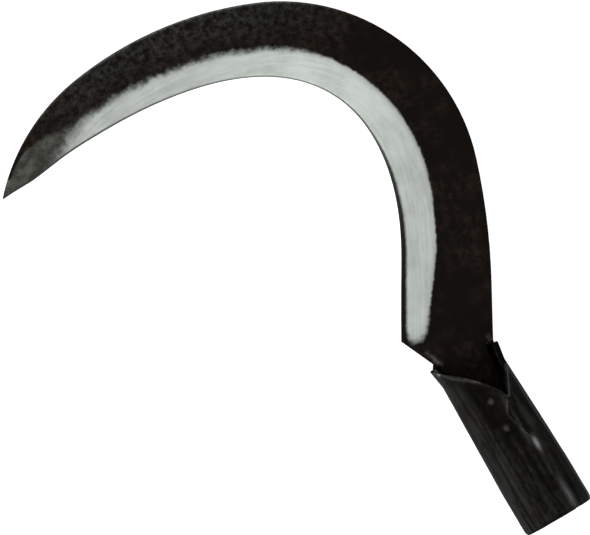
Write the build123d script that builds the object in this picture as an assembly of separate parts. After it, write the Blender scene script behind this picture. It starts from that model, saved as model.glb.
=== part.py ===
from build123d import *
from math import cos, degrees, radians, sin, sqrt
import os

# Hook-shaped billhook head: a forged blade with a ground steel cutting edge, and a rolled socket
# for a wooden handle, lapped on its front and closed with two rivets. Millimetres.
# The origin is the centre of the socket's mouth. +Y runs up the socket towards the blade, +Z out
# of the blade's visible face, and the head lies on its flat back. Angles on the socket are
# measured from its front centre line, positive towards +X.

# Socket: sheet rolled round a mandrel and hammered into long facets, with a drifted, truly round
# seat for the handle at its mouth, and a tapered throat with a flat back beyond it
BORE_RADIUS = 16.0
SEAT_LENGTH = 24.0
SEAT_STEP = 0.4
SHEET_THICKNESS = 3.4
SOCKET_LENGTH = 93.6
TAPER_WIDTH = 2.3
EAR_FLARE_WIDTH = 1.9
EAR_FLARE_LENGTH = 11.0
EAR_SKEW_LENGTH = 2.0
FOLD_RADIUS = 1.5
FOLD_POWER = 1.5
RIM_LENGTH = 2.4
RIM_DEPTH = 1.3
BACK_FACET_SHARES = (0, 0.1, 0.2, 0.28, 0.36, 0.5, 0.64, 0.72, 0.8, 0.9, 1)
SIDE_FACET_SHARES = (0, 0.33, 0.67, 1)

# Outside of the mouth's rim, hammered in: shares of its length and, there, of its depth
RIM_SHARES = ((0, 1), (0.35, 0.4), (1, 0))

# Stations up the throat, as shares of its length, and the angle of the outer wing's edge there
STATION_SHARES = (0, 0.25, 0.4, 0.5, 0.59, 0.72, 0.86, 1)
EDGE_ANGLES = (28, 25, 15, 12, 23, 23, 23, 23)

# Lap of the two wings: the left one lies outside, and steps up over the right one's edge. A flat
# land along the front centre line takes the rivets.
LAP_GAP = 0.2
LAND_ANGLE = 8.0
INNER_EDGE_ANGLE = 20.0
RAMP_START_ANGLE = 23.0
RAMP_END_ANGLE = 43.0

# Open throat: a V cut through both wings from the front. Its left side bends at a knee, and its
# right side runs out of the socket's flank, which leaves an ear above it.
THROAT_DEPTH = 28.6
THROAT_FOOT_X = 8.6
THROAT_KNEE_X = 7.5
THROAT_KNEE_RISE = 10.5
THROAT_FLANK_RISE = 19.7
THROAT_FLOOR_HEIGHT = 0.6

# Rivets through the lap, the upper one beside the foot of the V
RIVET_RISE = 2.6
RIVET_PITCH = 15.2
RIVET_RADIUS = 1.8
RIVET_CLEARANCE = 0.05
HEAD_RADIUS = 3.0
HEAD_HEIGHT = 1.7
TAIL_RADIUS = 2.6
TAIL_DEPTH = 1.0

# Blade plate: its back is a straight run and four arcs, from the shoulder to the point
BACK_HEADING_ANGLE = 60.7
BACK_RUN_LENGTH = 28.0
ARC_RADII = (330.0, 100.0, 180.0, 103.0)
ARC_ANGLES = (11.0, 85.0, 32.0, 39.0)
BLADE_WIDTH = 44.0
HEEL_THICKNESS = 4.4
CROWN_THICKNESS = 2.8
CROWN_REACH_LENGTH = 210.0

# Cutting edge: a ground bevel, and a steeper flank along the edge that is widest at the heel
BEVEL_WIDTH = 16.0
FLANK_WIDTH = 2.6
FLANK_HEIGHT = 1.5
EDGE_THICKNESS = 0.3
WELD_SHARE = 0.8

# Rows across the blade: share of the back's length, then shares of the three widths above
ROW_SHARES = (
    (-0.02, 1.05, 0.10, 1.00),
    (-0.01, 1.05, 0.34, 1.00),
    (0.00, 1.045, 0.58, 1.00),
    (0.03, 1.04, 0.85, 1.00),
    (0.07, 1.03, 0.94, 0.95),
    (0.13, 1.00, 1.12, 0.75),
    (0.20, 0.99, 1.18, 0.50),
    (0.30, 1.005, 1.12, 0.20),
    (0.40, 0.955, 1.05, 0.15),
    (0.50, 0.90, 1.04, 0.15),
    (0.60, 0.835, 0.97, 0.25),
    (0.70, 0.78, 0.95, 0.45),
    (0.80, 0.705, 0.88, 0.50),
    (0.86, 0.625, 0.81, 0.50),
    (0.91, 0.50, 0.73, 0.45),
    (0.955, 0.335, 0.76, 0.40),
    (1.00, 0.0, 0.75, 0.30),
    (1.03, -0.22, 0.75, 0.30),
)

# Neck: one sheet's thickness of joggle brings the blade's back level with the socket's back. Its
# shoulders bear on the socket's end, and the tongue inside is welded to the flat of the back.
SHOULDER_INSET = 1.56
SHOULDER_RISE = 1.7
SHOULDER_CORNER = 0.4
NOTCH_RISE = 2.4
NECK_INSET = 1.6
JOGGLE_FOOT_RISE = 2.4
JOGGLE_LENGTH = 8.0
TONGUE_LENGTH = 42.0
TONGUE_THICKNESS = 4.0
TONGUE_TIP_THICKNESS = 1.6
TONGUE_SCARF_LENGTH = 18.0
TONGUE_CLEARANCE = 0.3
TONGUE_SHARES = (0, 0.35, 0.7, 1)
WELD_GAP = 0.05

QUARTER_ANGLE = 90.0
OVERRUN = 5.0

INNER_RADIUS = BORE_RADIUS - SEAT_STEP
MOUTH_RADIUS = INNER_RADIUS + SHEET_THICKNESS
BACK_Z = -MOUTH_RADIUS
THROAT_LENGTH = SOCKET_LENGTH - SEAT_LENGTH
LAP_STEP = SHEET_THICKNESS + LAP_GAP
EAR_HALF_WIDTH = INNER_RADIUS - TAPER_WIDTH + EAR_FLARE_WIDTH + SHEET_THICKNESS
THROAT_FOOT_Y = SOCKET_LENGTH - THROAT_DEPTH
UPPER_RIVET_Y = THROAT_FOOT_Y + RIVET_RISE
RIVET_HEIGHTS = {"rivet_upper": UPPER_RIVET_Y, "rivet_lower": UPPER_RIVET_Y - RIVET_PITCH}


def half_width(y):
    """Inside half-width of the socket at height y."""
    taper = TAPER_WIDTH * max(0, y - SEAT_LENGTH) / THROAT_LENGTH
    flare = EAR_FLARE_WIDTH * max(0, 1 - (SOCKET_LENGTH - y) / EAR_FLARE_LENGTH) ** 2
    return INNER_RADIUS - taper + flare


def fold_radius(y):
    """Inside radius of the two folds beside the flat back: the whole bore at the seat."""
    share = min(1, (SOCKET_LENGTH - y) / THROAT_LENGTH)
    return FOLD_RADIUS + (half_width(y) - FOLD_RADIUS) * share ** FOLD_POWER


def end_skew(y):
    """How far the section at height y leans, from square at the seat to the skewed end."""
    return EAR_SKEW_LENGTH * (max(0, y - SEAT_LENGTH) / THROAT_LENGTH) ** 2


def around(angle, radius):
    """Point of a section at an angle from the front and a radius."""
    return (radius * sin(radians(angle)), radius * cos(radians(angle)))


def back_corners(y, radius, offset, seat):
    """Corners of a skin's facets round the back, from the left side to the right one."""
    if seat:
        return [around(-QUARTER_ANGLE * (1 + 2 * share), radius) for share in BACK_FACET_SHARES]
    fold = fold_radius(y)
    deep = INNER_RADIUS - fold
    flat = half_width(y) - fold
    corner = (fold + offset) / sqrt(2)
    side = [(radius, 0), (radius, -deep / 2), (radius, -deep),
            (flat + corner, -deep - corner), (flat, -INNER_RADIUS - offset)]
    return [(-x, z) for x, z in side] + [(0, -INNER_RADIUS - offset)] + side[::-1]


def skin(y, edge_angle, offset, seat):
    """Corners of one skin of the rolled sheet, from the outer wing's edge round to the inner edge."""
    radius = half_width(y) + offset
    edge = (edge_angle, (edge_angle + LAND_ANGLE) / 2, LAND_ANGLE, -LAND_ANGLE)
    lap = [around(angle, radius + LAP_STEP) for angle in (*edge, -RAMP_START_ANGLE)]
    left = [around(-RAMP_END_ANGLE - share * (QUARTER_ANGLE - RAMP_END_ANGLE), radius)
            for share in SIDE_FACET_SHARES]
    right = [around(QUARTER_ANGLE - share * (QUARTER_ANGLE - edge_angle), radius)
             for share in SIDE_FACET_SHARES[:-1]]
    under = [around(angle, radius) for angle in (*edge, -INNER_EDGE_ANGLE)]
    back = back_corners(y, radius, offset, seat)
    lean = end_skew(y) / EAR_HALF_WIDTH
    return [(x, y - lean * x, z) for x, z in lap + left + back[1:-1] + right + under]


def socket_section(y, edge_angle, seat=False, thinning=0.0):
    """Closed outline of the rolled sheet at height y."""
    inner = skin(y, edge_angle, 0, seat)
    outer = skin(y, edge_angle, SHEET_THICKNESS - thinning, seat)
    return Wire(Polyline(*outer, *inner[::-1], close=True).edges())


def throat_cutter():
    """Prism that opens the front half of the throat, from the left ear down to the V's foot."""
    left = Vector(-EAR_HALF_WIDTH, SOCKET_LENGTH + EAR_SKEW_LENGTH)
    foot = Vector(THROAT_FOOT_X, THROAT_FOOT_Y)
    knee = Vector(THROAT_KNEE_X, THROAT_FOOT_Y + THROAT_KNEE_RISE)
    flank = Vector(EAR_HALF_WIDTH, THROAT_FOOT_Y + THROAT_FLANK_RISE)
    right = flank + Vector(OVERRUN, 0)
    top = Vector(0, SOCKET_LENGTH + EAR_SKEW_LENGTH + OVERRUN)
    sides = [Bezier(left, knee, foot), Line(foot, flank), Line(flank, right),
             Line(right, (right.X, top.Y)), Line((right.X, top.Y), (left.X, top.Y)),
             Line((left.X, top.Y), left)]
    outline = Pos(0, 0, THROAT_FLOOR_HEIGHT) * make_face([e.edge() for e in sides])
    return extrude(outline, amount=MOUTH_RADIUS + LAP_STEP + OVERRUN)


def rivet_plane(y):
    """Plane on the inside face of the rivets' land at height y, on the front centre line."""
    slope = TAPER_WIDTH / THROAT_LENGTH
    height = half_width(y) * cos(radians(LAND_ANGLE))
    return Plane(origin=(0, y, height), x_dir=(1, 0, 0), z_dir=(0, slope, 1))


def rivet_profile(clearance):
    """Half section of a rivet, from its peened tail to its domed head."""
    grip = (SHEET_THICKNESS + LAP_STEP) * cos(radians(LAND_ANGLE))
    shank = RIVET_RADIUS + clearance
    tail = TAIL_RADIUS + clearance
    outline = Polyline((0, 0), (tail, 0), (shank, TAIL_DEPTH), (shank, grip), (HEAD_RADIUS, grip))
    dome = RadiusArc((HEAD_RADIUS, grip), (0, grip + HEAD_HEIGHT),
                     -(HEAD_RADIUS ** 2 + HEAD_HEIGHT ** 2) / (2 * HEAD_HEIGHT))
    return make_face(Plane.XZ * (outline + dome + Line((0, grip + HEAD_HEIGHT), (0, 0))))


def rivet(y, clearance=0.0):
    """Rivet at height y, or the hole for it where a clearance is given."""
    return rivet_plane(y) * revolve(rivet_profile(clearance), Axis.Z)


def make_socket():
    """The rolled sheet, with its seat drifted round, its throat cut open and its rivet holes."""
    heights = [SEAT_LENGTH + share * THROAT_LENGTH for share in STATION_SHARES]
    sections = [socket_section(rise * RIM_LENGTH, EDGE_ANGLES[0], seat=True, thinning=inset * RIM_DEPTH)
                for rise, inset in RIM_SHARES]
    for y, angle in zip(heights, EDGE_ANGLES):
        sections.append(socket_section(y, angle, seat=y == SEAT_LENGTH))
    socket = Solid.make_loft(sections, ruled=True) - throat_cutter()
    drift = Cylinder(BORE_RADIUS, SEAT_LENGTH + OVERRUN, align=(Align.CENTER, Align.CENTER, Align.MIN))
    socket -= Plane((0, -OVERRUN, 0), z_dir=(0, 1, 0)) * drift
    for y in RIVET_HEIGHTS.values():
        socket -= rivet(y, RIVET_CLEARANCE)
    return socket


ARC_LENGTHS = [radius * radians(angle) for radius, angle in zip(ARC_RADII, ARC_ANGLES)]
BACK_LENGTH = BACK_RUN_LENGTH + sum(ARC_LENGTHS)
SHOULDER = (EAR_HALF_WIDTH - SHOULDER_INSET, SOCKET_LENGTH - EAR_SKEW_LENGTH + SHOULDER_RISE)


def back_at(distance):
    """Point and heading, in degrees, at a distance along the blade's back from the shoulder."""
    run = min(distance, BACK_RUN_LENGTH)
    heading = BACK_HEADING_ANGLE
    x = SHOULDER[0] + run * cos(radians(heading))
    y = SHOULDER[1] + run * sin(radians(heading))
    left = distance - run
    for number, (radius, length) in enumerate(zip(ARC_RADII, ARC_LENGTHS), start=1):
        part = max(0, left)
        if number < len(ARC_RADII):
            part = min(part, length)
        turned = heading + degrees(part / radius)
        x += radius * (sin(radians(turned)) - sin(radians(heading)))
        y -= radius * (cos(radians(turned)) - cos(radians(heading)))
        heading = turned
        left -= part
    return x, y, heading


def inward(share, depth):
    """Point a given depth in from the back, at a share of the back's length."""
    x, y, heading = back_at(share * BACK_LENGTH)
    return (x - depth * sin(radians(heading)), y + depth * cos(radians(heading)))


def blade_top(y):
    """Height of the blade's face, which falls from the heel to the crown."""
    fall = (HEEL_THICKNESS - CROWN_THICKNESS) * (y - JOGGLE_TOP_Y) / CROWN_REACH_LENGTH
    return BACK_Z + HEEL_THICKNESS - fall


def edge_point(row):
    """Point of the cutting edge on a row across the blade."""
    return inward(row[0], row[1] * BLADE_WIDTH)


def border_point(row, share=1.0):
    """Point on a row where the ground bevel begins, or at a share of its width from the edge."""
    return inward(row[0], row[1] * BLADE_WIDTH - share * row[2] * BEVEL_WIDTH)


NOTCH_Y = SOCKET_LENGTH + EAR_SKEW_LENGTH + NOTCH_RISE
JOGGLE_FOOT_Y = SOCKET_LENGTH + JOGGLE_FOOT_RISE
JOGGLE_TOP_Y = JOGGLE_FOOT_Y + JOGGLE_LENGTH
TONGUE_END_Y = SOCKET_LENGTH - TONGUE_LENGTH
TONGUE_Z = BACK_Z + SHEET_THICKNESS + WELD_GAP


def tongue_half(y):
    """Half-width of the tongue, which lies on the flat of the socket's back between its folds."""
    return half_width(y) - fold_radius(y) - TONGUE_CLEARANCE


def bearing_point(x):
    """Point of the neck's shoulders at x, on the weld with the socket's skewed end."""
    return (x, SOCKET_LENGTH - EAR_SKEW_LENGTH * x / EAR_HALF_WIDTH + WELD_GAP)


def plate_outline():
    """Outline of the whole plate in plan, edge steel and tongue included."""
    edges = [Line(SHOULDER, back_at(BACK_RUN_LENGTH)[:2])]
    start = BACK_RUN_LENGTH
    for length in ARC_LENGTHS:
        points = [back_at(start + share * length)[:2] for share in (0, 0.5, 1)]
        edges.append(ThreePointArc(*points))
        start += length
    rows = [edge_point(row) for row in ROW_SHARES if 0 <= row[0] < 1]
    edges.append(Spline(edges[-1] @ 1, *rows[::-1]))
    straight = TONGUE_LENGTH - tongue_half(TONGUE_END_Y)
    heights = [SOCKET_LENGTH - share * straight for share in TONGUE_SHARES]
    left = [(-tongue_half(y), y) for y in heights]
    right = [(tongue_half(y), y) for y in heights]
    neck = [rows[0], (-half_width(SOCKET_LENGTH), NOTCH_Y), bearing_point(NECK_INSET - EAR_HALF_WIDTH),
            bearing_point(left[0][0]), left[0]]
    edges += [Line(a, b) for a, b in zip(neck, neck[1:])]
    edges.append(Spline(*left))
    edges.append(ThreePointArc(left[-1], (0, TONGUE_END_Y), right[-1]))
    edges.append(Spline(*right[::-1]))
    neck = [right[0], bearing_point(right[0][0]), bearing_point(SHOULDER[0] - SHOULDER_CORNER), SHOULDER]
    edges += [Line(a, b) for a, b in zip(neck, neck[1:])]
    return make_face([e.edge() for e in edges])


def plate_profile():
    """Side view of the plate: blade, joggle, and the tongue with its scarfed tip."""
    far = JOGGLE_TOP_Y + CROWN_REACH_LENGTH + OVERRUN
    tip = TONGUE_END_Y - OVERRUN
    scarf = TONGUE_END_Y + TONGUE_SCARF_LENGTH
    foot_top = TONGUE_Z + TONGUE_THICKNESS
    level = [(1, 0), (1, 0)]
    under = Spline((JOGGLE_FOOT_Y, TONGUE_Z), (JOGGLE_TOP_Y, BACK_Z), tangents=level)
    over = Spline((JOGGLE_FOOT_Y, foot_top), (JOGGLE_TOP_Y, blade_top(JOGGLE_TOP_Y)), tangents=level)
    lines = [
        Line((tip, TONGUE_Z), under @ 0), under, Line(under @ 1, (far, BACK_Z)),
        Line((far, BACK_Z), (far, blade_top(far))), Line((far, blade_top(far)), over @ 1), over,
        Line(over @ 0, (scarf, foot_top)),
        Line((scarf, foot_top), (tip, TONGUE_Z + TONGUE_TIP_THICKNESS)),
        Line((tip, TONGUE_Z + TONGUE_TIP_THICKNESS), (tip, TONGUE_Z)),
    ]
    return make_face([e.edge() for e in lines])


def strip_region():
    """Plan of the zone that the edge steel fills, run out past the plate on every free side."""
    inner = [border_point(row, WELD_SHARE) for row in ROW_SHARES]
    outer = [inward(row[0], row[1] * BLADE_WIDTH + OVERRUN) for row in ROW_SHARES]
    sides = [Spline(*inner), Line(inner[-1], outer[-1]), Spline(*outer[::-1]), Line(outer[0], inner[0])]
    return make_face([e.edge() for e in sides])


def grinding_cutter(lower, upper):
    """Solid above the ruled surface from the lower to the upper row of points, run out past both."""
    rails = ([], [])
    for low, high in zip(lower, upper):
        run = Vector(*high) - Vector(*low)
        rails[0].append(Vector(*low) - run * (OVERRUN / run.length))
        rails[1].append(Vector(*high) + run * (OVERRUN / run.length))
    face = Face.make_surface_from_curves(Spline(*rails[0]).edge(), Spline(*rails[1]).edge())
    return Solid.extrude(face, Vector(0, 0, HEEL_THICKNESS + OVERRUN))


def make_blade_and_edge():
    """The iron plate and the steel strip welded along it, ground together on the front."""
    plan = extrude(plate_outline(), amount=MOUTH_RADIUS + OVERRUN, dir=(0, 0, -1))
    side = extrude(Plane.YZ * plate_profile(), amount=BACK_LENGTH, both=True)
    plate = plan & side
    sharp, shoulder, bevel_low, bevel_high = [], [], [], []
    for row in ROW_SHARES:
        x, y = edge_point(row)
        bx, by = border_point(row)
        top = blade_top(by)
        low = BACK_Z + EDGE_THICKNESS + row[3] * FLANK_HEIGHT
        share = row[3] * FLANK_WIDTH / (row[2] * BEVEL_WIDTH + FLANK_WIDTH)
        sharp.append((x, y, BACK_Z + EDGE_THICKNESS))
        shoulder.append((x + share * (bx - x), y + share * (by - y), low + share * (top - low)))
        bevel_low.append((x, y, low))
        bevel_high.append((bx, by, top))
    plate -= grinding_cutter(bevel_low, bevel_high)
    plate -= grinding_cutter(sharp, shoulder)
    strip = extrude(strip_region(), amount=MOUTH_RADIUS + OVERRUN, dir=(0, 0, -1))
    return plate - strip, plate & strip


def save(name, shape):
    """Write one piece under its own name."""
    shape.label = name
    export_step(shape, os.path.join("parts", name + ".step"))


os.makedirs("parts", exist_ok=True)
blade, edge_steel = make_blade_and_edge()
save("blade", blade)
save("edge_steel", edge_steel)
save("socket", make_socket())
for name, height in RIVET_HEIGHTS.items():
    save(name, rivet(height))
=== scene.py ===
from math import atan2, ceil, radians

import bmesh
import bpy
import numpy as np
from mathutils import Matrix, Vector, geometry, kdtree, noise
from mathutils.bvhtree import BVHTree


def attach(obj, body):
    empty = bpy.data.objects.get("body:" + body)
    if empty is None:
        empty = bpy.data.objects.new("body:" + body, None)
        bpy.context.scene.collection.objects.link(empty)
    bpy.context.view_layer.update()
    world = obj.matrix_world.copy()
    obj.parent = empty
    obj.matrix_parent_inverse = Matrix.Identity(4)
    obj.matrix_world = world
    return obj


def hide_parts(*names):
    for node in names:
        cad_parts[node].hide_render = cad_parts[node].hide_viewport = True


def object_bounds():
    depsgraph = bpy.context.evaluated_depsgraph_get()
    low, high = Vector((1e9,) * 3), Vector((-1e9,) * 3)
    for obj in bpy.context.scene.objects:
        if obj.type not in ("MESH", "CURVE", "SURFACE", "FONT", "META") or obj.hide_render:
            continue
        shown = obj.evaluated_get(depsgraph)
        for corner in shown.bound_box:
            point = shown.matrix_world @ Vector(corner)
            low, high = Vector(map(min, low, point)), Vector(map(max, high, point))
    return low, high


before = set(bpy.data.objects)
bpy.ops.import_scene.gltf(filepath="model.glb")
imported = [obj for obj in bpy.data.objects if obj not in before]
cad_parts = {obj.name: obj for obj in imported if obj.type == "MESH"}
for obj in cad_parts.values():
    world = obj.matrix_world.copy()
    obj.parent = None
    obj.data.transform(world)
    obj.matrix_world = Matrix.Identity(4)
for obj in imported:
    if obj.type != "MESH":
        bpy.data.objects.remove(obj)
cad_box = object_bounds()

# Lengths and places are in millimetres, on the part's own axes, until a mesh is written
MM = 0.001
JOIN_DISTANCE = 0.001

# Places on the plate: where its back begins, its point, and the heel's corner
SHOULDER = (17.0, 93.3)
POINT = (-159.2, 278.8)
HEEL_CORNER = (-23.3, 115.3)

# Fine mesh of the plates: spacing of the rim's points and of the staggered grid, its rows of
# even-sided triangles, and how clear of other points it stays
RIM_STEP = 0.8
GRID_STEP = 1.1
GRID_RISE = GRID_STEP * 3 ** 0.5 / 2
GRID_CLEARANCE = 0.55 * GRID_STEP

# Faces: how far up or down one has to look not to be a side, the least angle of a fold between
# two of them, and the angle from which shading is sharp
SIDE_NORMAL = 0.5
CREASE_ANGLE = radians(4)
SHARP_ANGLE = radians(38)

# Heights are looked up from this far above and below, and this far inside the outline
PROBE_HEIGHT = 100.0
NUDGE = 0.03

# Worn rounding of the forged edges: its radius, which is at most a share of the wall, its rings
# of points as shares of the radius, and how near another piece is where it is welded on
EDGE_ROUNDING = 0.75
ROUNDING_WALL_SHARE = 0.3
RING_SHARES = (0.14, 0.5, 1.0)
WELD_REACH = 0.08

# Hammer marks on the plates: height and length of the broad waves, the blows and the fine scale,
# what the grinding leaves of them, the walls between which they grow to their full height, and
# where the underside's marks begin, clear of the socket
FORGE_WAVES = ((0.16, 34.0), (0.09, 11.0), (0.035, 2.6))
GROUND_CALM = 0.1
CALM_WALL = 1.0
FULL_WALL = 3.0
UNDERSIDE_START = 106.0

# Ground zone: where it begins, as shares of the back's length and depths in from the back
BORDER = (
    (0.0, 33.5), (0.02, 32.5), (0.06, 30.2), (0.12, 26.7), (0.2, 25.3), (0.3, 26.4), (0.4, 26.0),
    (0.46, 25.2), (0.5, 24.7), (0.6, 23.6), (0.7, 22.2), (0.8, 20.0), (0.84, 18.8), (0.88, 16.6),
    (0.9, 14.6), (0.92, 11.4), (0.94, 6.6), (0.955, 3.6), (0.97, 2.2), (1.0, 1.3),
)

# Lower end of the ground zone at the heel: lines that it lies to the left of, the share of the
# back up to which they hold, and how softly they join its border
HEEL_LINES = (
    ((-19.4, 119.2), (-18.6, 112.3)),
    ((-18.6, 112.3), (-14.3, 110.8)),
    ((-14.3, 110.8), (-6.5, 115.5)),
)
HEEL_SHARE = 0.25
HEEL_BLEND = 2.5

# Darker point: how far from it the ground steel stays bright, less a share of the edge's distance
TIP_BRIGHT = 50.0
TIP_GREY = 22.0
TIP_SLANT = 2.2

# Line along the cutting edge: share of the back's length, its width, and its tone from black to
# the colour of the ground steel
EDGE_LINE = (
    (0.0, 2.9, 0.0), (0.14, 2.7, 0.02), (0.24, 1.9, 0.08), (0.34, 1.0, 0.25), (0.5, 0.7, 0.45),
    (0.64, 0.7, 0.45), (0.78, 0.9, 0.3), (0.9, 1.0, 0.2), (1.0, 0.8, 0.1),
)

# Places rubbed bare on the forged face, near the heel's edge and the shoulder, with a painted
# highlight where the joggle's crest catches light: points, half width and strength
BARE_AND_HIGHLIGHT_MARKS = (
    (((-14.8, 104.4), (-12.6, 98.6), (-11.6, 96.1)), 0.8, 0.5),
    (((-13.2, 99.2), (-12.4, 97.4)), 0.8, 1.4),
    (((15.6, 96.0), (15.8, 94.4)), 0.9, 0.4),
)

# Socket and rivets: voxels and rounds of smoothing of their fine copies, and height, length and
# stretch of their hammer marks, which the offset turns mostly inwards
SOCKET_VOXEL = 0.45
RIVET_VOXEL = 0.22
SOCKET_ROUNDS = 5
RIVET_ROUNDS = 2
SOCKET_WAVES = ((0.16, 9.0, 5.0), (0.05, 2.4, 3.0))
RIVET_WAVES = ((0.10, 2.6, 1.0), (0.04, 0.9, 1.0))
MARK_OFFSET = 0.5

# Worn edges, and painted shade in the hollows, from the surface's bend: its gain, the bend that
# shows no wear yet, and the rounds that even it out
BEND_GAIN = 9.0
BEND_START = 0.12
BEND_ROUNDS = 4

# Painted highlights on the socket, partly places rubbed bright: centre, half width, half length and
# strength
RUBS_AND_HIGHLIGHTS = (
    ((9.2, 38.5), 1.0, 3.4, 1.0),
    ((10.0, 8.0), 1.5, 7.0, 0.28),
    ((-15.4, 92.4), 0.9, 0.9, 0.8),
    ((6.6, 52.0), 0.9, 8.0, 0.12),
)

# Bands of painted light and shade along the front of the sheet, lighter where its facets face the
# light and darker where they turn away: place across it, tone at the mouth and at the throat. They
# wander across by noise of a width and length, and fade to plain where the sheet turns to the side
FACET_SHADING_BANDS = (
    (-19.0, 1.05, 1.7), (-16.0, 1.35, 2.2), (-11.5, 0.85, 1.2), (-9.5, 0.5, 0.8), (-7.0, 0.35, 0.3),
    (-4.0, 0.45, 0.15), (-1.5, 0.6, 0.2), (0.0, 0.75, 0.6), (2.0, 0.55, 0.4), (4.0, 0.3, 0.3),
    (6.0, 0.9, 0.5), (8.0, 1.6, 0.6), (10.0, 1.5, 0.5), (12.0, 1.2, 0.15), (14.0, 0.3, 0.05),
    (19.0, 0.3, 0.0),
)
PLAIN_SHADING = 0.5
SHADING_WANDER = 2.5
WANDER_WIDTH = 5.0
WANDER_LENGTH = 11.0
FRONT_SLOPE = 0.5

# Painted highlights along the sheet's cut edges, partly rubbed along their length: points, half
# width and strength
EDGE_RUBS_AND_HIGHLIGHTS = (
    (((-15.5, 92.7), (-11.2, 87.3), (-6.2, 83.5), (0.2, 78.5)), 0.6, 0.1),
    (((16.0, 79.2), (11.4, 70.6), (9.3, 66.2)), 0.8, 0.26),
    (((7.4, 63.5), (5.6, 60.8), (4.7, 58.8)), 0.6, 0.12),
    (((-15.5, 94.6), (-16.6, 93.8)), 0.6, 0.25),
)

# Painted shade under the throat's edge and on the right ear: points, half width and strength.
# More painted shade lies on the mouth's rim, and painted shade with grime round the rivets
SHADE_AND_GRIME_LINES = (
    (((-10.4, 85.5), (-6.9, 78.2), (-4.9, 68.3), (-4.1, 56.5)), 3.0, 1.0),
    (((-6.9, 78.2), (1.5, 73.2)), 2.4, 0.9),
    (((16.5, 95.0), (17.5, 86.0), (16.5, 80.5)), 3.0, 1.0),
    (((1.0, 78.0), (4.5, 73.5), (7.4, 68.5)), 1.4, 0.7),
)
RIVET_PLACES = ((0.0, 67.6), (0.0, 52.4))
RIVET_SHADE_RADIUS = 4.5
RIM_SHADE = 2.0

# A rivet's dome: height of its top with a painted highlight, partly rubbed, the highlight's
# strength, and painted shade on the rest of it
RIVET_LIT_TOP = 0.55
RIVET_SHINE = 0.1
RIVET_SHADE = 0.6

# The socket's end, which leans across its width, and the upset of its last millimetre in the
# weld: more of it beside the tongue, where it fills the slit between tongue and shoulder
SOCKET_END = 93.6
END_LEAN = 0.107
UPSET_LENGTH = 1.2
UPSET = 0.4
SLIT_PLACE = 13.35
SLIT_WIDTH = 0.8
SLIT_UPSET = 0.95

# The photograph's frame: its centre on the model, the direction that is up in it, and its width
VIEW_CENTRE = (-49.7, 174.9)
VIEW_UP = (0.5113, 0.8594)
VIEW_WIDTH = 295.0
VIEW_PLANE = -15.0
CAMERA_HEIGHT = 8000.0
SENSOR_WIDTH = 36.0

# The floor, which glows white for what looks at it or mirrors it, and the lights
FLOOR_SIZE = 3000.0
FLOOR_GAP = 0.05
FLOOR_GLOW = 0.85
FLOOR_WHITE = (0.85, 0.85, 0.85)
WHITE = (1.0, 1.0, 1.0)
WORLD_STRENGTH = 0.55
KEY_PLACE = (-1000, -150, 1350)
KEY_SIZE = 900
KEY_POWER = 9.4


def merged(name):
    """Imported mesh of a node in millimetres, with its split vertices joined again."""
    mesh = bmesh.new()
    mesh.from_mesh(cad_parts[name].data)
    bmesh.ops.scale(mesh, vec=Vector((1, 1, 1)) / MM, verts=mesh.verts)
    bmesh.ops.remove_doubles(mesh, verts=mesh.verts, dist=JOIN_DISTANCE)
    mesh.normal_update()
    return mesh


def outline(mesh):
    """Plan outline of a plate, anticlockwise: the border of the faces that look down."""
    follow = {}
    for edge in mesh.edges:
        down = [loop for loop in edge.link_loops if loop.face.normal.z < -SIDE_NORMAL]
        if len(down) == 1:
            follow[down[0].link_loop_next.vert] = down[0].vert
    vertex = next(iter(follow))
    points = []
    while vertex in follow:
        points.append(tuple(vertex.co.xy))
        vertex = follow.pop(vertex)
    return points


def creases(mesh):
    """Plan segments of the folds on a plate's face, where its ground surfaces meet."""
    segments = []
    for edge in mesh.edges:
        up = [face for face in edge.link_faces if face.normal.z > SIDE_NORMAL]
        if len(up) == 2 and up[0].normal.angle(up[1].normal) > CREASE_ANGLE:
            segments.append([tuple(vertex.co.xy) for vertex in edge.verts])
    return segments


def divided(start, end, step):
    """Points from a start up to an end, the end left out, no further apart than a step."""
    start, end = np.array(start), np.array(end)
    count = max(1, ceil(np.linalg.norm(end - start) / step))
    return [start + (end - start) * number / count for number in range(count)]


def inside(points, ring):
    """Which of the points lie inside a closed ring."""
    x, y = points[:, 0], points[:, 1]
    result = np.zeros(len(points), bool)
    for (ax, ay), (bx, by) in zip(ring, np.roll(ring, -1, axis=0)):
        if ay != by:
            crosses = (ay > y) != (by > y)
            result ^= crosses & (x < (bx - ax) * (y - ay) / (by - ay) + ax)
    return result


def to_segments(points, ring):
    """Distance of each point to a closed ring of short segments, and the ring's nearest point."""
    tree = kdtree.KDTree(len(ring))
    for number, (x, y) in enumerate(ring):
        tree.insert((x, y, 0), number)
    tree.balance()
    nearest = np.array([tree.find((x, y, 0))[1] for x, y in points])
    found = np.full(len(points), np.inf)
    for step in (-1, 0):
        start = ring[(nearest + step) % len(ring)]
        end = ring[(nearest + step + 1) % len(ring)]
        run = end - start
        share = np.clip(((points - start) * run).sum(1) / (run ** 2).sum(1), 0, 1)
        gap = np.linalg.norm(points - start - run * share[:, None], axis=1)
        found = np.minimum(found, gap)
    return found, nearest


def along_line(points, line):
    """Distance of each point to an open line, and how far along the line the nearest place is."""
    lengths = np.linalg.norm(np.diff(line, axis=0), axis=1)
    before = np.concatenate(([0], np.cumsum(lengths)))
    gap = np.full(len(points), np.inf)
    along = np.zeros(len(points))
    for start, end, length, travelled in zip(line, line[1:], lengths, before):
        share = np.clip((points - start) @ (end - start) / length ** 2, 0, 1)
        away = np.linalg.norm(points - start - np.outer(share, end - start), axis=1)
        nearer = away < gap
        gap[nearer] = away[nearer]
        along[nearer] = travelled + share[nearer] * length
    return gap, along


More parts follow.
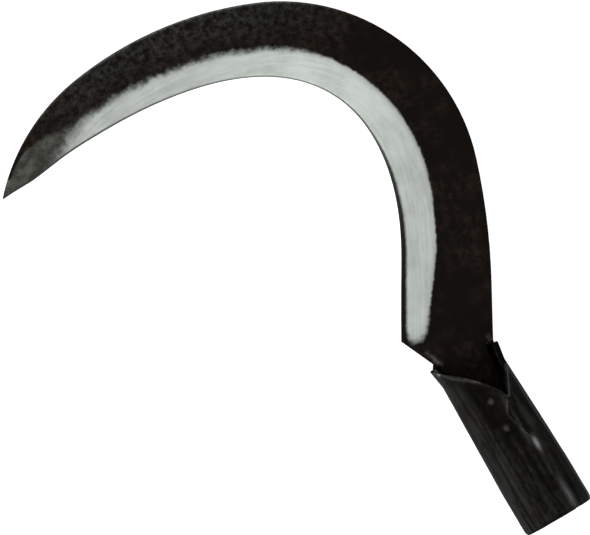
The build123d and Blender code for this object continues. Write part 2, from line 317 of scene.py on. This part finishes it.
def grid_points(ring, clear):
    """Points of a staggered grid inside a ring, clear of the points already placed."""
    low, high = ring.min(0), ring.max(0)
    rows = np.arange(low[1], high[1], GRID_RISE)
    columns = np.arange(low[0], high[0], GRID_STEP)
    grid = np.array([(x + number % 2 * GRID_STEP / 2, y)
                     for number, y in enumerate(rows) for x in columns])
    grid = grid[inside(grid, ring)]
    tree = kdtree.KDTree(len(clear))
    for number, (x, y) in enumerate(clear):
        tree.insert((x, y, 0), number)
    tree.balance()
    free = [tree.find((x, y, 0))[2] > GRID_CLEARANCE for x, y in grid]
    return grid[free]


def waves(point, table):
    """Height of hammer marks at a point: noise of several lengths, about zero."""
    return sum(height * noise.noise(Vector(point) / length) for height, length in table)


def probe(tree, x, y, side):
    """Height at which a vertical ray from above (1) or below (-1) meets a mesh."""
    hit = tree.ray_cast(Vector((x, y, side * PROBE_HEIGHT)), Vector((0, 0, -side)))[0]
    return hit.z if hit else None


def write_mesh(name, points, faces, values):
    """A smooth mesh object from points in millimetres, kept in the CAD's box, with their values."""
    points = np.clip(points, *(np.array(corner) / MM for corner in cad_box))
    mesh = bpy.data.meshes.new(name)
    mesh.from_pydata((points * MM).tolist(), [], faces)
    mesh.update()
    mesh.shade_smooth()
    mesh.set_sharp_from_angle(angle=SHARP_ANGLE)
    for key, numbers in values.items():
        attribute = mesh.attributes.new(key, "FLOAT", "POINT")
        attribute.data.foreach_set("value", np.asarray(numbers, np.float32))
    piece = bpy.data.objects.new(name, mesh)
    bpy.context.scene.collection.objects.link(piece)
    return piece


class Plate:
    """Fine mesh of one of the two flat pieces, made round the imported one."""

    def __init__(self, name, welded):
        self.mesh = merged(name)
        self.tree = BVHTree.FromBMesh(self.mesh)
        self.welded = [BVHTree.FromBMesh(merged(other)) for other in welded]
        corners = outline(self.mesh)
        self.ring = np.array([p for a, b in zip(corners, corners[1:] + corners[:1])
                              for p in divided(a, b, RIM_STEP)])

    def rounding(self):
        """Rounding of the edge at each point of the ring: none on the weld, little where thin."""
        ahead = np.roll(self.ring, -1, axis=0) - np.roll(self.ring, 1, axis=0)
        inward = np.stack((-ahead[:, 1], ahead[:, 0]), 1) / np.linalg.norm(ahead, axis=1)[:, None]
        radii = []
        weld = []
        for (x, y), (dx, dy) in zip(self.ring, inward):
            top = probe(self.tree, x + dx * NUDGE, y + dy * NUDGE, 1)
            low = probe(self.tree, x + dx * NUDGE, y + dy * NUDGE, -1)
            wall = top - low if top is not None and low is not None else 0
            radii.append(min(EDGE_ROUNDING, ROUNDING_WALL_SHARE * wall))
            middle = Vector((x, y, (top + low) / 2 if wall else 0))
            weld.append(any(tree.find_nearest(middle, WELD_REACH)[0] for tree in self.welded))
        if any(weld):
            gap = np.linalg.norm(self.ring[:, None] - self.ring[weld][None], axis=2).min(1)
            radii = np.minimum(radii, gap / 2)
        self.inward = inward
        self.radii = np.array(radii)

    def triangles(self):
        """Plan triangles over the whole outline, with every fold of the face on an edge."""
        placed = [tuple(p) for p in self.ring]
        edges = [(n, (n + 1) % len(placed)) for n in range(len(placed))]
        for start, end in creases(self.mesh):
            run = divided(start, end, GRID_STEP) + [np.array(end)]
            first = len(placed)
            placed += [tuple(p) for p in run]
            edges += [(first + n, first + n + 1) for n in range(len(run) - 1)]
        for share in RING_SHARES:
            used = self.radii > NUDGE
            rings = (self.ring + self.inward * (self.radii * share)[:, None])[used]
            placed += [tuple(p) for p in rings[inside(rings, self.ring)]]
        placed += [tuple(p) for p in grid_points(self.ring, placed)]
        vectors = [Vector(p) for p in placed]
        found = geometry.delaunay_2d_cdt(vectors, edges, [], 1, JOIN_DISTANCE)
        return tuple(np.array([tuple(item) for item in found[part]]) for part in (0, 2))

    def border_edges(self, faces):
        """Edges that only one plan triangle uses, in that triangle's direction."""
        directed = {(a, b) for face in faces for a, b in zip(face, np.roll(face, -1))}
        return [(a, b) for a, b in directed if (b, a) not in directed]

    def heights(self, plan, faces, side):
        """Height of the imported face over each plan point, looked up just inside the outline."""
        centre = np.zeros_like(plan)
        uses = np.zeros(len(plan))
        for corner in range(3):
            np.add.at(centre, faces[:, corner], plan[faces].mean(1))
            np.add.at(uses, faces[:, corner], 1)
        towards = centre / np.maximum(uses, 1)[:, None] - plan
        towards /= np.maximum(np.linalg.norm(towards, axis=1), NUDGE)[:, None]
        result = []
        for (x, y), (dx, dy) in zip(plan, towards * NUDGE):
            height = probe(self.tree, x + dx, y + dy, side)
            if height is None:
                height = self.tree.find_nearest(Vector((x, y, cad_box[0][2] / MM)))[0].z
            result.append(height)
        return np.array(result)

    def build(self, name, back, cutting):
        """The finished piece: rounded, hammered, and with its distances for the material."""
        self.rounding()
        plan, faces = self.triangles()
        top = self.heights(plan, faces, 1)
        low = self.heights(plan, faces, -1)
        gap, nearest = to_segments(plan, self.ring)
        radius = np.maximum(self.radii[nearest], JOIN_DISTANCE)
        reach = np.clip(radius - gap, 0, None)
        drop = radius - np.sqrt(np.maximum(radius ** 2 - reach ** 2, 0))
        values = face_values(plan, back, cutting)
        calm = np.where(values["past"] > 0, GROUND_CALM, 1.0)
        blows = np.array([waves((x, y, 0), FORGE_WAVES) for x, y in plan])
        under = np.array([abs(waves((x, y, PROBE_HEIGHT), FORGE_WAVES)) for x, y in plan])
        beyond = np.clip((plan[:, 1] - UNDERSIDE_START) / GRID_STEP, 0, 1)
        thick = np.clip((top - low - CALM_WALL) / (FULL_WALL - CALM_WALL), 0, 1)
        upper = np.column_stack((plan, top - drop + blows * calm * thick))
        lower = np.column_stack((plan, low + drop + under * beyond * thick))
        count = len(plan)
        shell = faces.tolist() + (faces[:, ::-1] + count).tolist()
        shell += [(int(a) + count, int(b) + count, int(b), int(a))
                  for a, b in self.border_edges(faces)]
        both = {key: np.concatenate((numbers, numbers)) for key, numbers in values.items()}
        both["face"] = np.concatenate((np.ones(count), np.zeros(count)))
        return write_mesh(name, np.concatenate((upper, lower)), shell, both)


def face_values(plan, back, cutting):
    """What the blade's material is drawn by: places along and in from the back, and the edge."""
    depth, along = along_line(plan, back)
    share = along / np.linalg.norm(np.diff(back, axis=0), axis=1).sum()
    edge = along_line(plan, cutting)[0]
    shares, depths = np.array(BORDER).T
    past = depth - np.interp(share, shares, depths)
    heel = share < HEEL_SHARE
    for start, end in np.array(HEEL_LINES):
        run = (end - start) / np.linalg.norm(end - start)
        margin = (plan[heel] - start) @ (-run[1], run[0])
        blend = np.clip(0.5 + (margin - past[heel]) / (2 * HEEL_BLEND), 0, 1)
        past[heel] = margin + (past[heel] - margin) * blend - HEEL_BLEND * blend * (1 - blend)
    shares, widths, tones = np.array(EDGE_LINE).T
    line = edge / np.interp(share, shares, widths)
    tone = np.interp(share, shares, tones)
    tip = np.linalg.norm(plan - POINT, axis=1) - TIP_SLANT * edge
    bare_and_highlight = np.zeros(len(plan))
    for marks, width, strength in BARE_AND_HIGHLIGHT_MARKS:
        away = along_line(plan, np.array(marks))[0] / width
        bare_and_highlight = np.maximum(bare_and_highlight, strength * np.exp(-away ** 2))
    return {"share": share, "run": along, "depth": depth, "past": past,
            "line": line, "tone": tone, "tip": tip, "bare_and_highlight": bare_and_highlight}


def stretch(ring, start, end):
    """Part of a closed ring from the point nearest to start, onwards to the one nearest to end."""
    first = np.linalg.norm(ring - start, axis=1).argmin()
    last = np.linalg.norm(ring - end, axis=1).argmin()
    if last < first:
        last += len(ring)
    return ring[np.arange(first, last + 1) % len(ring)]


def fine_copy(name, voxel):
    """Fine, even copy of a node's mesh, as points in millimetres, edges and faces."""
    mesh = bpy.data.meshes.new("coarse")
    coarse = merged(name)
    coarse.to_mesh(mesh)
    coarse.free()
    temporary = bpy.data.objects.new("coarse", mesh)
    bpy.context.scene.collection.objects.link(temporary)
    remesh = temporary.modifiers.new("remesh", "REMESH")
    remesh.mode = "VOXEL"
    remesh.voxel_size = voxel
    shown = temporary.evaluated_get(bpy.context.evaluated_depsgraph_get())
    fine = bpy.data.meshes.new_from_object(shown)
    bpy.data.objects.remove(temporary)
    points = np.empty(len(fine.vertices) * 3)
    fine.vertices.foreach_get("co", points)
    edges = np.empty(len(fine.edges) * 2, int)
    fine.edges.foreach_get("vertices", edges)
    faces = [tuple(face.vertices) for face in fine.polygons]
    bpy.data.meshes.remove(fine)
    return points.reshape(-1, 3), edges.reshape(-1, 2), faces


def neighbour_mean(values, edges):
    """Mean of a value, or of a point, over the neighbours of each point."""
    total = np.zeros_like(values)
    uses = np.zeros(len(values))
    for a, b in (edges.T, edges.T[::-1]):
        np.add.at(total, a, values[b])
        np.add.at(uses, a, 1)
    return total / (uses[:, None] if values.ndim > 1 else uses)


def point_normals(points, faces):
    """Unit normal at each point of a mesh of four-sided faces."""
    corners = points[np.array(faces)]
    cross = np.cross(corners[:, 2] - corners[:, 0], corners[:, 3] - corners[:, 1])
    normals = np.zeros_like(points)
    for corner in range(4):
        np.add.at(normals, np.array(faces)[:, corner], cross)
    return normals / np.linalg.norm(normals, axis=1)[:, None]


def hammered(name, piece_name, voxel, table, rounds, extra):
    """Fine copy of a rigid node with softened edges and hammer marks, pressed inwards only."""
    points, edges, faces = fine_copy(name, voxel)
    for _ in range(rounds):
        points += (neighbour_mean(points, edges) - points) / 2
    normals = point_normals(points, faces)
    marks = np.array([
        sum(height * (MARK_OFFSET + noise.noise(Vector((x, y / along, z)) / length))
            for height, length, along in table)
        for x, y, z in points
    ])
    points -= normals * np.clip(marks, 0, None)[:, None]
    normals = point_normals(points, faces)
    bend = ((neighbour_mean(points, edges) - points) * normals).sum(1) / voxel
    for _ in range(BEND_ROUNDS):
        bend = (bend + neighbour_mean(bend, edges)) / 2
    bend *= BEND_GAIN
    # Worn edges where the surface bends out, and painted shade in the hollows where it bends in
    values = {"worn": np.clip(-bend - BEND_START, 0, 1), "hollow_shade": np.clip(bend, 0, 1)}
    values.update(extra(points, normals))
    return write_mesh(piece_name, points, faces, values)


def socket_values(points, normals):
    """Upsets the socket's end and gives its marks: painted highlights, partly rubbed places,
    painted shade, partly grime, and bands of painted light and shade.
    """
    below = SOCKET_END - END_LEAN * points[:, 0] - points[:, 1]
    upset = UPSET + SLIT_UPSET * np.exp(-((points[:, 0] - SLIT_PLACE) / SLIT_WIDTH) ** 2)
    points[:, 1] += upset * np.clip(1 - below / UPSET_LENGTH, 0, 1)
    # Painted highlights on the front of the sheet, partly places rubbed bright
    rubbed_and_highlight = np.zeros(len(points))
    front = np.clip(normals[:, 2] / FRONT_SLOPE, 0, 1)
    for (x, y), width, length, strength in RUBS_AND_HIGHLIGHTS:
        away = ((points[:, 0] - x) / width) ** 2 + ((points[:, 1] - y) / length) ** 2
        rubbed_and_highlight = np.maximum(rubbed_and_highlight, strength * np.exp(-away))
    for line, width, strength in EDGE_RUBS_AND_HIGHLIGHTS:
        away = along_line(points[:, :2], np.array(line))[0] / width
        rubbed_and_highlight = np.maximum(rubbed_and_highlight, strength * np.exp(-away ** 2))
    # Painted shade on the mouth's rim, under the throat's edge and on the right ear, and painted
    # shade with grime round the rivets
    shade_and_grime = np.exp(-(points[:, 1] / RIM_SHADE) ** 2)
    for line, width, strength in SHADE_AND_GRIME_LINES:
        away = along_line(points[:, :2], np.array(line))[0] / width
        shade_and_grime = np.maximum(shade_and_grime, strength * np.exp(-away ** 2))
    for x, y in RIVET_PLACES:
        away = np.hypot(points[:, 0] - x, points[:, 1] - y) / RIVET_SHADE_RADIUS
        shade_and_grime = np.maximum(shade_and_grime, np.exp(-away ** 2))
    # Bands of painted light and shade across the front of the sheet
    places, mouth, throat = np.array(FACET_SHADING_BANDS).T
    wander = [noise.noise(Vector((x / WANDER_WIDTH, y / WANDER_LENGTH, 0))) for x, y, _ in points]
    across = points[:, 0] + SHADING_WANDER * np.array(wander)
    low, high = (np.interp(across, places, tones) for tones in (mouth, throat))
    facet_shading = low + (high - low) * points[:, 1] / SOCKET_END
    facet_shading = PLAIN_SHADING + (facet_shading - PLAIN_SHADING) * front
    return {"rubbed_and_highlight": rubbed_and_highlight * front, "shade_and_grime": shade_and_grime, "facet_shading": facet_shading}


def rivet_values(points, normals):
    """Marks on a rivet: its dome has a painted highlight on top, partly rubbed, and painted shade
    on the rest of it.
    """
    drop = points[:, 2].max() - points[:, 2]
    # Painted highlight on the dome's top, partly rubbed, and painted shade on the rest of the dome
    rubbed_and_highlight = np.clip(1 - drop / RIVET_LIT_TOP, 0, 1) * np.clip(normals[:, 2], 0, 1) ** 2
    plain = np.full(len(points), PLAIN_SHADING)
    return {"rubbed_and_highlight": rubbed_and_highlight * RIVET_SHINE, "shade_and_grime": RIVET_SHADE * (1 - rubbed_and_highlight), "facet_shading": plain}


class Tree:
    """A material's node tree, with short calls for the nodes that the finishes are made of."""

    def __init__(self, name):
        self.material = bpy.data.materials.new(name)
        self.material.use_nodes = True
        self.nodes = self.material.node_tree.nodes
        self.links = self.material.node_tree.links
        self.shader = self.nodes["Principled BSDF"]
        self.place = self.nodes.new("ShaderNodeTexCoord").outputs["Object"]

    def put(self, value, socket):
        """Link an output to a socket, or set the socket to a number or a colour."""
        if isinstance(value, bpy.types.NodeSocket):
            self.links.new(value, socket)
        elif isinstance(value, tuple):
            socket.default_value = (*value, 1)
        else:
            socket.default_value = value

    def value(self, name):
        """A value that the mesh carries on its points."""
        made = self.nodes.new("ShaderNodeAttribute")
        made.attribute_name = name
        return made.outputs["Fac"]

    def maths(self, operation, first, second):
        made = self.nodes.new("ShaderNodeMath")
        made.operation = operation
        self.put(first, made.inputs[0])
        self.put(second, made.inputs[1])
        return made.outputs[0]

    def times(self, first, second):
        return self.maths("MULTIPLY", first, second)

    def plus(self, first, second):
        return self.maths("ADD", first, second)

    def most(self, first, second):
        return self.maths("MAXIMUM", first, second)

    def steps(self, value, low, high, start=0.0, end=1.0):
        """A smooth step from start to end, as a value goes from low to high."""
        made = self.nodes.new("ShaderNodeMapRange")
        made.interpolation_type = "SMOOTHSTEP"
        for place, given in (("Value", value), ("From Min", low), ("From Max", high),
                             ("To Min", start), ("To Max", end)):
            self.put(given, made.inputs[place])
        return made.outputs["Result"]

    def zone(self, value, begins, ends):
        """A value's zone, with a smooth step where it begins and another where it ends."""
        return self.times(self.steps(value, *begins), self.steps(value, *ends))

    def pair(self, first, second):
        """Texture places from two of the mesh's lengths, so that a pattern follows the blade."""
        made = self.nodes.new("ShaderNodeCombineXYZ")
        for name, socket in ((first, "X"), (second, "Y")):
            self.put(self.times(self.value(name), MM), made.inputs[socket])
        return made.outputs["Vector"]

    def noise(self, size, detail, stretched=(1.0, 1.0, 1.0), roughness=0.6, place=None):
        """Noise with lumps of about a size in millimetres, drawn out by three factors."""
        mapping = self.nodes.new("ShaderNodeMapping")
        self.links.new(place or self.place, mapping.inputs["Vector"])
        mapping.inputs["Scale"].default_value = [1 / factor for factor in stretched]
        made = self.nodes.new("ShaderNodeTexNoise")
        made.inputs["Scale"].default_value = 1 / (size * MM)
        made.inputs["Detail"].default_value = detail
        made.inputs["Roughness"].default_value = roughness
        self.links.new(mapping.outputs["Vector"], made.inputs["Vector"])
        return made.outputs["Fac"]

    def swing(self, pattern):
        """Noise of a pattern, about zero."""
        return self.maths("SUBTRACT", self.noise(**pattern), NOISE_MIDDLE)

    def mix(self, share, first, second):
        """A colour between two, by a share."""
        made = self.nodes.new("ShaderNodeMix")
        made.data_type = "RGBA"
        self.put(share, made.inputs["Factor"])
        self.put(first, made.inputs[6])
        self.put(second, made.inputs[7])
        return made.outputs[2]

    def bump(self, height, distance):
        """Relief of a height, up to a distance in millimetres."""
        made = self.nodes.new("ShaderNodeBump")
        made.inputs["Distance"].default_value = distance * MM
        self.put(height, made.inputs["Height"])
        self.links.new(made.outputs["Normal"], self.shader.inputs["Normal"])

    def finish(self, colour, metallic, roughness, level):
        """The material, with its shader's sockets set or linked."""
        for key, given in (("Base Color", colour), ("Metallic", metallic),
                           ("Roughness", roughness), ("Specular IOR Level", level)):
            self.put(given, self.shader.inputs[key])
        return self.material


# Colours of the scale, the ground steel and its edge, and the socket's sheet
SCALE_BLACK = (0.0054, 0.0037, 0.0027)
SCALE_BROWN = (0.022, 0.0145, 0.0105)
SCALE_GREY = (0.052, 0.055, 0.049)
# Colour of the back's rubbed edge and of the bare marks, partly a painted highlight
BACK_RUB_AND_HIGHLIGHT = (0.16, 0.16, 0.15)
STEEL_PALE = (0.61, 0.65, 0.61)
STEEL_DULL = (0.46, 0.49, 0.46)
STEEL_SHADED = (0.22, 0.235, 0.22)
STEEL_TIP = (0.11, 0.11, 0.097)
STEEL_TIP_DARK = (0.046, 0.046, 0.039)
EDGE_BLACK = (0.004, 0.004, 0.0035)
SOCKET_BLACK = (0.0035, 0.0032, 0.0026)
SOCKET_GREY = (0.0265, 0.0258, 0.024)
SOCKET_BROWN = (0.0115, 0.0082, 0.0056)
WORN_IRON = (0.11, 0.105, 0.10)
# Colour of the painted highlights on the sheet, partly places rubbed bright
RUB_AND_HIGHLIGHT_IRON = (0.38, 0.37, 0.37)

# Noise patterns: size of the lumps in millimetres, detail, and what departs from plain noise
NOISE_MIDDLE = 0.5
BLADE_PATCHES = {"size": 26.0, "detail": 3.0}
MOTTLE = {"size": 3.2, "detail": 6.0, "roughness": 0.7}
SPECKLE = {"size": 2.6, "detail": 6.0, "roughness": 0.7}
LUMPS = {"size": 7.0, "detail": 2.0}
GRIND_STREAKS = {"size": 1.6, "detail": 4.0, "stretched": (1.0, 16.0, 1.0)}
GRIND_CLOUDS = {"size": 16.0, "detail": 3.0}
TIP_STAINS = {"size": 5.0, "detail": 5.0, "roughness": 0.65}
PITS = {"size": 0.9, "detail": 3.0}
SHEET_STREAKS = {"size": 3.4, "detail": 5.0, "stretched": (1.0, 11.0, 1.0)}
SHEET_BLOTCHES = {"size": 2.4, "detail": 5.0, "stretched": (1.0, 2.2, 1.0), "roughness": 0.7}
SHEET_PATCHES = {"size": 13.0, "detail": 4.0, "stretched": (1.0, 2.0, 1.0)}
CHIPS = {"size": 1.8, "detail": 5.0, "roughness": 0.7}

# The same patterns' steps: the noise at which they begin and are full, and then their strength
BLADE_PATCH_STEP = (0.42, 0.62)
MOTTLE_STEP = (0.38, 0.68)
DULL_STEP = (0.75, 1.35)
STAIN_STEP = (0.36, 0.66)
STREAK_STEP = (0.36, 0.64, 0.15, 1.4)
BLOTCH_STEP = (0.34, 0.66, 0.45, 1.55)
SHEET_PATCH_STEP = (0.53, 0.68)
CHIP_STEP = (0.35, 0.6)

# Zones along the blade, by the share of the back's length: the grey haze on the scale, the soft
# border of the ground zone, and the bow, whose steel gets a little painted shade. The heel has a
# softer border and painted shade on its steel as well
HAZE_ZONE = ((0.44, 0.62), (0.99, 0.8))
SOFT_ZONE = ((0.42, 0.6), (0.96, 0.92))
BOW_ZONE = ((0.14, 0.24), (0.54, 0.44))
HEEL_SOFTNESS = (0.06, 0.02, 0.0, 0.5)
HEEL_SHADE = (0.16, 0.06, 0.0, 0.1)
BOW_SHADE = 0.18

# Steps in millimetres: how deep from the back the haze and its rubbed edge with a painted highlight
# reach, and how the steel darkens at its border. Then the haze's strength, and how the mottle
# breaks up the rubbed places and their painted highlights
HAZE_DEPTH = (26.0, 4.0)
BACK_DEPTH = (1.4, 0.3)
BORDER_SHADE = (3.2, -0.5, 0.0, 0.35)
HAZE_STRENGTH = 0.7
RUB_AND_HIGHLIGHT_CHIPS = (0.4, 1.0)

# The ground zone's border, where it is sharp and where it is soft: reach of its speckles and of
# its fading in millimetres, and of its lumps where it is soft. It lies on the top face alone
BORDER_SPECKLE = (2.0, 4.5)
BORDER_FADE = (0.7, 2.4)
BORDER_LUMPS = 5.0
TOP_FACE = (0.4, 0.6)

# Ragged borders of the darker point, in millimetres, and of the line along the cutting edge, as
# shares of its width
TIP_RAGGED = 14.0
LINE_RAGGED = 0.5
LINE_STEP = (1.35, 0.65)

# The blade's surface: metal of the ground steel, roughness of scale and steel, relief in
# millimetres with the share of it that steel and scale have, and specular level
STEEL_METAL = 0.85
BLADE_ROUGHNESS = (0.6, 0.5)
BLADE_RELIEF = 0.05
GROUND_RELIEF = (0.15, 1.0)
BLADE_LEVEL = 0.05

# The sheet's surface: strength of brown and of the painted shade with grime, how the chips break
# up the painted highlights and rubbed places, metal where it is bare and under the painted
# highlights, roughness by the streaks, relief in millimetres and specular level
BROWN_STRENGTH = 0.7
SHADE_AND_GRIME_STRENGTH = 0.8
RUB_AND_HIGHLIGHT_STEP = (0.0, 0.5, 0.5, 1.0)
BARE_METAL = 0.6
SHEET_ROUGHNESS = (0.3, 0.7, 0.5, 0.65)
SHEET_RELIEF = 0.06
SHEET_LEVEL = 0.01


def scale_colour(tree, mottle):
    """Black forge scale with brown patches, grey towards the point, and rubbed bright along the
    back and at a few marks, partly a painted highlight.
    """
    share, depth = tree.value("share"), tree.value("depth")
    patches = tree.steps(tree.noise(**BLADE_PATCHES), *BLADE_PATCH_STEP)
    scale = tree.mix(tree.times(patches, mottle), SCALE_BLACK, SCALE_BROWN)
    along = tree.zone(share, *HAZE_ZONE)
    haze = tree.times(tree.times(along, tree.steps(depth, *HAZE_DEPTH)), mottle)
    scale = tree.mix(tree.times(haze, HAZE_STRENGTH), scale, SCALE_GREY)
    # Rubbed bright along the back's edge and at a few marks, partly a painted highlight where the
    # back's rounding and the joggle's crest catch light
    rubbed_and_highlight = tree.most(tree.times(along, tree.steps(depth, *BACK_DEPTH)), tree.value("bare_and_highlight"))
    return tree.mix(tree.times(rubbed_and_highlight, tree.steps(mottle, 0, 1, *RUB_AND_HIGHLIGHT_CHIPS)), scale, BACK_RUB_AND_HIGHLIGHT)


def ground_zone(tree, speckle, lumps):
    """Share of the ground steel: its border is sharp on the limb, and speckled beyond the bow."""
    share = tree.value("share")
    soft = tree.most(tree.zone(share, *SOFT_ZONE), tree.steps(share, *HEEL_SOFTNESS))
    ragged = tree.times(speckle, tree.steps(soft, 0, 1, *BORDER_SPECKLE))
    border = tree.plus(tree.value("past"), ragged)
    border = tree.plus(border, tree.times(lumps, tree.times(soft, BORDER_LUMPS)))
    fade = tree.steps(soft, 0, 1, *BORDER_FADE)
    ground = tree.steps(border, tree.times(fade, -1.0), fade)
    return tree.times(ground, tree.steps(tree.value("face"), *TOP_FACE))


def steel_colour(tree, speckle, lumps, line):
    """Pale ground steel with streaks along the blade, a grey point and a dark cutting edge."""
    share = tree.value("share")
    streaks = tree.noise(**GRIND_STREAKS, place=tree.pair("depth", "run"))
    dull = tree.steps(tree.plus(streaks, tree.noise(**GRIND_CLOUDS)), *DULL_STEP)
    steel = tree.mix(dull, STEEL_PALE, STEEL_DULL)
    # Painted shade at the ground zone's border, on the bow and at the heel
    shade = tree.steps(tree.value("past"), *BORDER_SHADE)
    shade = tree.plus(shade, tree.times(tree.zone(share, *BOW_ZONE), BOW_SHADE))
    shade = tree.plus(shade, tree.steps(share, *HEEL_SHADE))
    steel = tree.mix(shade, steel, STEEL_SHADED)
    stains = tree.steps(tree.noise(**TIP_STAINS), *STAIN_STEP)
    tip = tree.plus(tree.value("tip"), tree.times(speckle, TIP_RAGGED))
    tip = tree.plus(tip, tree.times(lumps, TIP_RAGGED))
    tip_colour = tree.mix(stains, STEEL_TIP_DARK, STEEL_TIP)
    steel = tree.mix(tree.steps(tip, TIP_BRIGHT, TIP_GREY), steel, tip_colour)
    return tree.mix(line, steel, tree.mix(tree.value("tone"), EDGE_BLACK, STEEL_DULL))


def blade_material():
    """Forge scale and ground steel on the two plates, each with its own metal and relief."""
    tree = Tree("forged_and_ground")
    mottle = tree.steps(tree.noise(**MOTTLE), *MOTTLE_STEP)
    speckle, lumps = tree.swing(SPECKLE), tree.swing(LUMPS)
    line = tree.steps(tree.plus(tree.value("line"), tree.times(speckle, LINE_RAGGED)), *LINE_STEP)
    ground = ground_zone(tree, speckle, lumps)
    steel = steel_colour(tree, speckle, lumps, line)
    colour = tree.mix(ground, scale_colour(tree, mottle), steel)
    bright = tree.times(ground, tree.maths("SUBTRACT", 1.0, line))
    rough = tree.steps(ground, 0, 1, *BLADE_ROUGHNESS)
    pits = tree.plus(mottle, tree.noise(**PITS))
    tree.bump(tree.times(pits, tree.steps(ground, 1, 0, *GROUND_RELIEF)), BLADE_RELIEF)
    return tree.finish(colour, tree.times(bright, STEEL_METAL), rough, BLADE_LEVEL)


def iron_material(name):
    """Dark forged sheet with long streaks and bands of painted light and shade, worn on its edges,
    with painted shade in hollows and under edges, and painted highlights in places, partly rubbed
    bright.
    """
    tree = Tree(name)
    shade_and_grime = tree.value("shade_and_grime")
    streaks = tree.noise(**SHEET_STREAKS)
    # Bands of painted light and shade along the front of the sheet
    grey = tree.times(tree.steps(streaks, *STREAK_STEP), tree.value("facet_shading"))
    grey = tree.times(grey, tree.steps(tree.noise(**SHEET_BLOTCHES), *BLOTCH_STEP))
    colour = tree.mix(grey, SOCKET_BLACK, SOCKET_GREY)
    patches = tree.steps(tree.noise(**SHEET_PATCHES), *SHEET_PATCH_STEP)
    colour = tree.mix(tree.times(patches, BROWN_STRENGTH), colour, SOCKET_BROWN)
    # Painted shade in hollows, under the throat's edge, on the ear and the rim, with some grime
    # round the rivets
    dark = tree.most(shade_and_grime, tree.value("hollow_shade"))
    colour = tree.mix(tree.times(dark, SHADE_AND_GRIME_STRENGTH), colour, SOCKET_BLACK)
    chips = tree.steps(tree.noise(**CHIPS), *CHIP_STEP)
    worn = tree.times(tree.times(tree.value("worn"), chips), tree.steps(shade_and_grime, 0, 1, 1, 0))
    colour = tree.mix(worn, colour, WORN_IRON)
    # Painted highlights, partly rubbed bright
    rubbed_and_highlight = tree.times(tree.value("rubbed_and_highlight"), tree.steps(chips, *RUB_AND_HIGHLIGHT_STEP))
    colour = tree.mix(rubbed_and_highlight, colour, RUB_AND_HIGHLIGHT_IRON)
    metal = tree.times(tree.most(worn, rubbed_and_highlight), BARE_METAL)
    tree.bump(tree.plus(chips, streaks), SHEET_RELIEF)
    return tree.finish(colour, metal, tree.steps(streaks, *SHEET_ROUGHNESS), SHEET_LEVEL)


def add_camera():
    """The photograph's view, straight down on the blade's face from far away."""
    data = bpy.data.cameras.new("camera")
    data.sensor_width = SENSOR_WIDTH
    data.lens = SENSOR_WIDTH * CAMERA_HEIGHT / VIEW_WIDTH
    data.clip_end = 2 * CAMERA_HEIGHT * MM
    camera = bpy.data.objects.new("camera", data)
    bpy.context.scene.collection.objects.link(camera)
    camera.location = Vector((*VIEW_CENTRE, VIEW_PLANE + CAMERA_HEIGHT)) * MM
    camera.rotation_euler = (0, 0, -atan2(VIEW_UP[0], VIEW_UP[1]))
    bpy.context.scene.camera = camera


def add_floor():
    """A floor just under the part, which shows and mirrors as white but keeps its shadow."""
    z = cad_box[0][2] - FLOOR_GAP * MM
    half = FLOOR_SIZE * MM / 2
    x, y = (place * MM for place in VIEW_CENTRE)
    corners = [(x + half * a, y + half * b, z) for a, b in ((-1, -1), (1, -1), (1, 1), (-1, 1))]
    mesh = bpy.data.meshes.new("floor")
    mesh.from_pydata(corners, [], [(0, 1, 2, 3)])
    floor = bpy.data.objects.new("floor", mesh)
    bpy.context.scene.collection.objects.link(floor)
    tree = Tree("floor")
    path = tree.nodes.new("ShaderNodeLightPath")
    tree.put(WHITE, tree.shader.inputs["Emission Color"])
    seen = path.outputs["Is Camera Ray"]
    for ray in ("Is Glossy Ray", "Is Transmission Ray"):
        seen = tree.most(seen, path.outputs[ray])
    tree.put(tree.times(seen, FLOOR_GLOW), tree.shader.inputs["Emission Strength"])
    mesh.materials.append(tree.finish(FLOOR_WHITE, metallic=0.0, roughness=0.9, level=0.1))


def add_light(name, place, size, power):
    """A soft round lamp that looks at the middle of the view."""
    data = bpy.data.lights.new(name, "AREA")
    data.shape = "DISK"
    data.size = size * MM
    data.energy = power
    lamp = bpy.data.objects.new(name, data)
    bpy.context.scene.collection.objects.link(lamp)
    lamp.location = Vector(place) * MM
    target = Vector((*VIEW_CENTRE, 0)) * MM
    lamp.rotation_euler = (target - lamp.location).to_track_quat("-Z", "Y").to_euler()


def add_world(strength):
    """Even white light from all round."""
    world = bpy.data.worlds.new("world")
    bpy.context.scene.world = world
    world.use_nodes = True
    background = world.node_tree.nodes["Background"]
    background.inputs["Color"].default_value = (*WHITE, 1)
    background.inputs["Strength"].default_value = strength


def place_piece(piece, node, material):
    """Give a finished piece its material and its body, and hide the node that it stands for."""
    piece.data.materials.append(material)
    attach(piece, "root")
    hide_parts(node)


def main():
    plate = Plate("blade", ("edge_steel", "socket"))
    strip = Plate("edge_steel", ("blade",))
    back = stretch(plate.ring, SHOULDER, POINT)
    cutting = stretch(strip.ring, POINT, HEEL_CORNER)
    face = blade_material()
    place_piece(plate.build("blade_forged", back, cutting), "blade", face)
    place_piece(strip.build("edge_ground", back, cutting), "edge_steel", face)

    sheet = iron_material("rolled_iron")
    socket = hammered("socket", "socket_rolled", SOCKET_VOXEL, SOCKET_WAVES, SOCKET_ROUNDS,
                      socket_values)
    place_piece(socket, "socket", sheet)
    for name in ("rivet_upper", "rivet_lower"):
        rivet = hammered(name, name + "_peened", RIVET_VOXEL, RIVET_WAVES, RIVET_ROUNDS,
                         rivet_values)
        place_piece(rivet, name, sheet)


main()
add_camera()
add_floor()
add_world(WORLD_STRENGTH)
add_light("key", KEY_PLACE, KEY_SIZE, KEY_POWER)
bpy.context.scene.view_settings.view_transform = "Standard"
